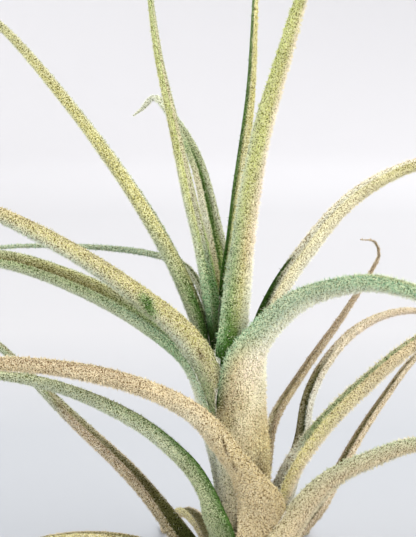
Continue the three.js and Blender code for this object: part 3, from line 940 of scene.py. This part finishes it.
grow_leaf(
    "leaf_left_front", "tan_leaf",
    dict(
        seat=-66, rise=5, heads=202, side=8.8, clasp=14, wrap=40, half=6.4, bow=-3,
        shaggy=1.3,
        marks=[(0.283, 0.62, 0.6, "bark"), (0.27, 0.5, 0.6, "bark"), (0.25, 0.45, 0.6, "bark")],
        path=[
            (-1.6, 19), (1.8, 28.3), (5.9, 33.6), (13.3, 41.35), (27.8, 48.25), (51.8, 52.6), (73, 50.7),
            (84, 43),
        ],
    ),
    [
        (0.0, "tan tan tan ochre"), (0.2, "tan tan tan ochre"), (0.28, "tan sand tan ochre"),
        (0.36, "tan cream cream tan"), (0.44, "tan cream sand tan"), (0.52, "tan cream sand umber"),
        (0.6, "tan cream sand umber"), (0.7, "sand sand tan umber"), (1.0, "straw sand tan"),
    ],
    [(0, "tan"), (0.4, "olive"), (1, "tan")],
)
grow_leaf(
    "leaf_left_upper", "tan_leaf",
    dict(
        seat=228, rise=22, heads=187, side=3.4, clasp=16, half=5.2, roll=-40, bow=3,
        shaggy=1.25,
        marks=[
            (0.37, 0.28, 2.2, "moss"), (0.37, 0.28, 1.4, "deep"), (0.385, 0.45, 1.5, "moss"),
            (0.36, 0.1, 1.7, "moss"), (0.254, 0.48, 0.7, "bark"),
        ],
        path=[
            (4.2, 40), (5.6, 46.8), (11, 55), (21.6, 64.1), (37.7, 74.6), (56.8, 83), (75.6, 83.5),
            (88, 76.5),
        ],
    ),
    [
        (0.0, "moss leaf brass brass"), (0.2, "moss leaf leaf brass leaf"),
        (0.28, "leaf sage frost hay hay"), (0.38, "leaf sage sage hay hay"),
        (0.46, "leaf frost frost hay brass"), (0.56, "sage frost frost hay brass"),
        (0.7, "sage sage frost brass ochre"), (1.0, "sage frost sand"),
    ],
    [(0, "sage"), (0.5, "leaf"), (1, "sage")],
)


# The crown: green leaves that stand nearly upright, and one that hooks over at the back. The long channelled
# leaf that arches out to the left grows below them, and a sun-faded one leans out to the right between them.
grow_leaf(
    "leaf_upright_front", "green_leaf",
    dict(
        seat=222, rise=32, heads=-50, side=-4.1, clasp=8, half=5.6, shaggy=1.4,
        path=[
            (0.2, 44), (3.3, 54.6), (4.8, 62.7), (7.8, 78.7), (11.8, 94.6), (18.2, 110), (26, 126),
            (42, 141),
        ],
    ),
    [
        # Painted shade: the dusk and deep at the foot of both faces, where the leaf stands deep in the heart
        # of the rosette.
        (0.0, "dusk dusk deep deep deep deep"), (0.17, "dusk dusk deep deep leaf leaf"),
        (0.2, "fern deep deep frost pale pale"), (0.28, "glaucous moss hay pale pale blush"),
        (0.36, "glaucous leaf ochre blush blush blush"), (0.44, "frost lime brass blush rose blush"),
        (0.52, "frost lime lime blush cream rose"), (0.62, "lime lime hay blush straw straw"),
        (1.0, "lime lime lime cream straw straw"),
    ],
    [(0, "deep"), (0.5, "leaf"), (1, "leaf")],
)
grow_leaf(
    "leaf_tall_left", "green_leaf",
    dict(
        seat=162, rise=29, heads=178, side=-1.8, clasp=12, wrap=36, half=5.2,
        roll=2, bow=-2,
        path=[
            (4.9, 42), (6.8, 54.4), (10.9, 64.9), (20.4, 81.8), (35.1, 102.1), (49, 117.6), (60.5, 125.5),
            (70, 127),
        ],
    ),
    [
        # Painted shade: the dusk and deep at the foot, deep in the heart of the rosette, and the dusk and
        # moss low in the channel, the shadow line along its opening. The pale low on the outer face is
        # painted light that lifts the shade there.
        (0.0, "dusk"), (0.1, "deep deep pale pale dusk"), (0.2, "deep " * 4 + "pale pale frost moss dusk"),
        (0.28, "leaf leaf frost leaf deep"), (0.36, "leaf leaf frost sage hay"),
        (0.44, "leaf frost pale hay straw"), (0.55, "sage frost pale straw hay"),
        (0.7, "sage frost pale straw brass"), (1.0, "sage frost sage"),
    ],
    [(0, "dusk"), (0.22, "moss"), (0.3, "lime"), (0.4, "frost"), (0.46, "pale"), (1, "cream")],
)
grow_leaf(
    "leaf_left_channelled", "green_leaf",
    dict(
        seat=184, rise=11, heads=180, side=0.5, clasp=18, half=6.9, roll=30, bow=-4,
        path=[
            (4.7, 28), (4.9, 40), (9.3, 50.1), (19.3, 57.8), (31.6, 64.4), (47.6, 69.5), (66, 69.9),
            (82, 60),
        ],
    ),
    [
        # The pale at the foot is painted light that lifts the shade under the leaves above it.
        (0.0, "pale " * 10 + "deep"), (0.2, "pale " * 10 + "deep"), (0.28, "frost pale pale pale jade"),
        (0.36, "sage glaucous frost fern fern"), (0.44, "sage frost frost frost spruce"),
        (0.54, "sage frost glaucous frost leaf"), (0.7, "sage frost frost frost leaf"),
        (1.0, "glaucous frost"),
    ],
    [
        (0, "deep"), (0.34, "leaf moss leaf"), (0.44, "frost moss sage frost sage"),
        (0.52, "hay olive leaf sage sage"), (0.62, "hay olive olive sage sage"),
        (0.72, "sage olive bark sage sage"), (1, "sage olive sage"),
    ],
)
grow_leaf(
    "leaf_upright_left", "green_leaf",
    dict(
        seat=150, rise=36, heads=180, side=-0.8, clasp=8, half=4.1, roll=28,
        path=[(3.6, 47), (4.8, 58), (8, 74), (9.9, 82), (13.3, 98), (15.9, 110), (17.6, 123), (18, 134)],
    ),
    [
        # Painted shade: the dusk at the foot, deep in the heart of the rosette, and the deep low in the
        # channel. The mint, jade and pale of the channel above it are painted light that lifts the channel's
        # shade.
        (0.0, "dusk"), (0.2, "dusk dusk deep dusk dusk"), (0.28, "spring moss teal fern fern"),
        (0.36, "spring sage pale frost leaf"), (0.44, "lime frost pale frost lime"),
        (0.6, "sage frost pale hay lime"), (1.0, "sage frost frost lime leaf"),
    ],
    [
        (0, "deep"), (0.18, "deep"), (0.21, "mint mint leaf"), (0.3, "mint mint leaf"),
        (0.34, "jade jade leaf"), (0.4, "pale pale leaf"), (0.6, "cream straw leaf"),
        (1, "cream straw leaf"),
    ],
)
grow_leaf(
    "leaf_upright_slim", "green_leaf",
    dict(
        seat=30, rise=40, heads=15, side=1.6, clasp=4, half=3.5, roll=-25,
        path=[(-1.6, 53), (-1.6, 64), (-0.3, 75), (1, 86), (3.1, 102), (4, 120), (4.4, 138)],
    ),
    [
        # Painted shade: the deep, moss and dusk at one edge of both faces, the dark line where the channel's
        # rim lies in shadow.
        (0.0, "deep leaf deep"), (0.25, "pale straw deep"), (0.6, "straw straw deep"),
        (1.0, "straw straw moss"),
    ],
    [
        (0, "deep"), (0.26, "lime " * 7 + "moss dusk"), (0.36, "straw " * 7 + "lime deep"),
        (0.5, "cream " * 5 + "straw straw straw moss"), (1, "cream " * 5 + "straw straw straw moss"),
    ],
)
grow_leaf(
    "leaf_right_upper", "tan_leaf",
    dict(
        seat=12, rise=26, heads=13, side=-0.4, clasp=14, half=5.2, roll=-6, bow=3,
        shaggy=1.2,
        path=[
            (3.2, 40), (3.7, 52.5), (8.1, 62.8), (13.9, 70.8), (24, 81.7), (37.9, 88.4), (61, 90), (79, 79),
        ],
    ),
    [
        # Painted shade: the dusk at one edge of the outer face and the dusk wedge low in the channel, the
        # channel's shadowed inside. The pale of the channel beyond the wedge is painted light that offsets
        # the channel's shade.
        (0.0, "ivory pale cream dusk"), (0.35, "ivory pale cream dusk"), (0.39, "ivory pale cream cream"),
        (0.5, "ivory cream cream"), (0.6, "hay ivory sand"), (1.0, "sand cream sand"),
    ],
    [
        (0, "dusk"), (0.18, "dusk"), (0.26, "pale " * 8 + "deep dusk dusk"),
        (0.32, "pale " * 9 + "dusk dusk"), (0.37, "pale " * 10 + "dusk"), (0.385, "pale"), (1, "pale"),
    ],
)
grow_leaf(
    "leaf_back_hooked", "green_leaf",
    dict(
        seat=100, rise=33, heads=126, side=-1.35, clasp=8, half=5.2,
        path=[
            (5.2, 50), (7.4, 65.5), (11.1, 76.2), (16.9, 89.4), (27.3, 99.6), (31.2, 101.7), (35.7, 99.2),
            (39.2, 97.7),
        ],
    ),
    [
        (0.0, "deep"), (0.3, "sage sage lime"), (0.36, "sage lime straw"), (0.44, "sage straw cream"),
        (0.52, "sage cream pale"), (0.62, "sage straw cream"), (0.7, "sage leaf moss"), (0.8, "frost"),
        (0.9, "pale"), (1.0, "pale"),
    ],
    [
        # The dusk and deep down the channel are its own dark green with painted shade in the channel's
        # depth.
        (0, "dusk"), (0.3, "teal teal dusk deep spring lime"), (0.44, "pale spring deep moss straw straw"),
        (0.52, "pale moss deep spring straw cream"), (0.6, "frost moss dusk moss straw cream"),
        (0.68, "sage moss deep moss leaf leaf"), (0.76, "sage"), (0.84, "frost"), (1, "pale"),
    ],
)


# The leaves that lean out to the right. The older ones among them have dried to brown, and the driest has
# curled right over at its tip.
grow_leaf(
    "leaf_right_middle", "tan_leaf",
    dict(
        seat=8, rise=13, heads=11, side=-1, clasp=6, wrap=40, half=5.3, bow=-4,
        shaggy=1.6,
        path=[
            (7.2, 20.4), (9.8, 26.4), (16.5, 34.9), (24.7, 42.9), (36.6, 52.7), (54.4, 60.7), (74.4, 61),
        ],
    ),
    [
        (0.0, "straw blush cream"), (0.2, "straw blush cream"), (0.3, "hay cream cream"),
        (0.5, "tan cream cream"), (1.0, "tan sand sand"),
    ],
    [
        (0, "pale"), (0.2, "pale"), (0.26, "moss"), (0.3, "moss moss leaf"), (0.5, "moss moss leaf"),
        (0.7, "leaf"), (1, "sage"),
    ],
)
grow_leaf(
    "leaf_back_curled", "old_leaf",
    dict(
        seat=56, rise=15, heads=49, side=-1.35, clasp=2, wrap=30, half=2.7,
        path=[
            (6.7, 26), (9.7, 35.8), (19.1, 44.8), (32.5, 55.3), (43.5, 65), (45.6, 67.8), (44.2, 70.6),
            (38.8, 71.5),
        ],
    ),
    [
        (0.0, "olive umber tan"), (0.28, "umber tan sand"), (0.36, "ochre tan umber"),
        (0.6, "umber sand umber"), (1.0, "umber tan"),
    ],
    [
        (0, "olive"), (0.27, "tan tan brass"), (0.34, "tan umber olive"), (0.6, "ochre umber umber"),
        (1, "umber"),
    ],
)
grow_leaf(
    "leaf_back_right", "old_leaf",
    dict(
        seat=34, rise=9, heads=40, side=1.5, clasp=2, wrap=34, half=3.6, bow=3,
        path=[
            (13.8, 18), (19.5, 30.6), (21.5, 39.1), (26.1, 45.7), (36.2, 52.4), (52.4, 55), (79.2, 49),
        ],
    ),
    [
        (0.0, "olive tan tan"), (0.25, "pale pale olive"), (0.36, "pale pale olive"),
        (0.44, "cream cream umber"), (0.6, "sand rose tan"), (1.0, "tan"),
    ],
    # The dusk and deep low in the channel are painted shade.
    [(0, "dusk"), (0.28, "deep dusk brass"), (0.42, "olive dusk olive"), (0.5, "cream"), (1, "cream")],
)
grow_leaf(
    "leaf_right_slim", "old_leaf",
    dict(
        seat=-8, rise=7, heads=36, side=-4.5, clasp=2, wrap=34, half=3.2, bow=-1.5,
        path=[(10, 12.6), (17.6, 18), (23.7, 26.4), (29, 33.3), (34.4, 39.3), (43.1, 47.6), (61, 56)],
    ),
    [(0.0, "umber olive umber"), (0.35, "sand tan umber"), (0.6, "sand sand umber"), (1.0, "sand")],
    [(0, "olive"), (0.6, "olive"), (1, "umber")],
)
grow_leaf(
    "leaf_right_low", "tan_leaf",
    dict(
        seat=-38, rise=6, heads=-35, side=2.9, clasp=2, wrap=34, half=6.5, bow=-3,
        shaggy=1.4,
        path=[(11, 17.2), (21.6, 27.9), (31.2, 33), (39.1, 36.3), (53, 38.5), (68, 35)],
    ),
    [
        (0.0, "tan sand tan"), (0.4, "sage sand frost sand"), (0.7, "sage sand frost tan"),
        (1.0, "sage straw"),
    ],
    [(0, "olive"), (0.5, "sage"), (1, "sage")],
)


# The leaves that lean out to the left and to the back: one green below the others, one olive with a dark
# channel, and one thin one that runs out behind them.
grow_leaf(
    "leaf_left_lower", "green_leaf",
    dict(
        seat=222, rise=9, heads=192, side=4.2, clasp=6, wrap=40, half=5.4, bow=-3,
        path=[(6, 21.6), (9.1, 27.6), (13.5, 32.3), (22.7, 39.3), (38.4, 46.3), (57.1, 49.3), (68, 49)],
    ),
    [
        (0.0, "leaf sage leaf deep"), (0.28, "leaf sage sage deep"), (0.36, "leaf frost frost deep"),
        (0.45, "sage frost frost leaf"), (0.55, "sage frost frost sage"), (0.7, "sage frost frost sage"),
        (1.0, "sage"),
    ],
    [(0, "deep"), (0.5, "olive"), (1, "leaf")],
)
grow_leaf(
    "leaf_back_left", "old_leaf",
    dict(
        seat=152, rise=5, heads=153, side=0.5, clasp=2, wrap=34, half=5, bow=1,
        path=[(12, 12), (23.8, 23.6), (39.2, 35.6), (56.1, 49.6), (67, 57)],
    ),
    [
        (0.0, "olive"), (0.35, "tan tan umber"), (0.46, "tan sand umber"), (0.54, "sage sand umber"),
        (0.6, "sage frost olive"), (0.7, "sage frost leaf"), (1.0, "sage"),
    ],
    [(0, "dusk"), (0.3, "olive"), (0.6, "brass"), (1, "brass")],
)
grow_leaf(
    "leaf_back_thin", "green_leaf",
    dict(
        seat=118, rise=20, heads=142, side=-1, clasp=6, wrap=40, half=2.2, bow=4,
        path=[
            (6.4, 40), (8, 54), (9.6, 62), (13.9, 67.4), (21, 69.5), (41.5, 70.4), (65.9, 68.4), (88, 61),
        ],
    ),
    [
        # The pale a third of the way along is painted light that lifts the shade beside the upright left
        # leaf.
        (0.0, "deep sage deep"), (0.35, "pale"), (0.4, "pale"), (0.46, "glaucous"), (0.78, "glaucous"),
        (1.0, "frost"),
    ],
    [(0, "deep"), (0.5, "leaf"), (1, "leaf")],
)


# The oldest leaves grow from the foot of the stem and arch down until their outer halves lie on the surface.
# They have dried to straw and brown, with a little green left in their channels.
SETTLING_PASSES = 6
FOOT_LEAVES = {
    "leaf_foot_front": dict(
        seat=-112, rise=2.6, bow=5,
        path=[(10, 8), (19, 14), (34, 15), (50, 9), (63, 2.6), (74, 2.4)],
    ),
    "leaf_foot_front_right": dict(
        seat=-58, rise=4, bow=-4,
        path=[(10, 10), (20, 15), (36, 14), (51, 7), (61, 2.4), (69, 3)],
    ),
    "leaf_foot_right": dict(
        seat=4, rise=2.6, bow=-6,
        path=[(11, 7), (22, 11), (38, 11), (55, 5.4), (67, 2), (77, 2.6)],
    ),
    "leaf_foot_back_right": dict(
        seat=66, rise=4, bow=6,
        path=[(10, 9), (20, 13), (34, 13), (48, 7.4), (60, 2.6), (71, 2)],
    ),
    "leaf_foot_back": dict(
        seat=112, rise=2.6, bow=-5,
        path=[(10, 7), (20, 11), (36, 12), (53, 6.4), (64, 2.2), (72, 3.4)],
    ),
    "leaf_foot_left": dict(
        seat=170, rise=2.6, bow=6,
        path=[(11, 8), (21, 12), (37, 13), (55, 7.4), (68, 2.4), (79, 2)],
    ),
    "leaf_foot_front_left": dict(
        seat=208, rise=2.6, bow=4,
        path=[(11, 8), (20, 14), (34, 15), (47, 9.4), (58, 3.2), (67, 3)],
    ),
}

for order, (name, sizes) in enumerate(FOOT_LEAVES.items()):
    leaf = {
        **PLAIN_LEAF, "heads": sizes["seat"], "side": 0, "clasp": 1, "wrap": 26, "half": 4, "downy": 0.55,
        **sizes,
    }
    reach = leaf["path"][-1][0]
    for _ in range(SETTLING_PASSES):
        rings, along = leaf_rings(leaf, 0)
        lowest = rings[along > 12, :, 2].min()
        leaf["path"] = [(out, up - lowest * float(smooth_step(out, 0, reach))) for out, up in leaf["path"]]
    middle = ("sage", "tan", "umber")[order % 3]
    grow_leaf(
        name, "old_leaf", leaf,
        [
            (0.0, "umber tan umber"), (0.4, f"tan {middle} straw"), (0.8, f"umber {middle} tan"),
            (1.0, "umber"),
        ],
        [(0, "olive"), (0.5, "olive"), (1, "umber")],
    )


for thing, _, _ in keep_clear:
    bpy.data.objects.remove(thing)
bpy.data.objects.remove(crowd)
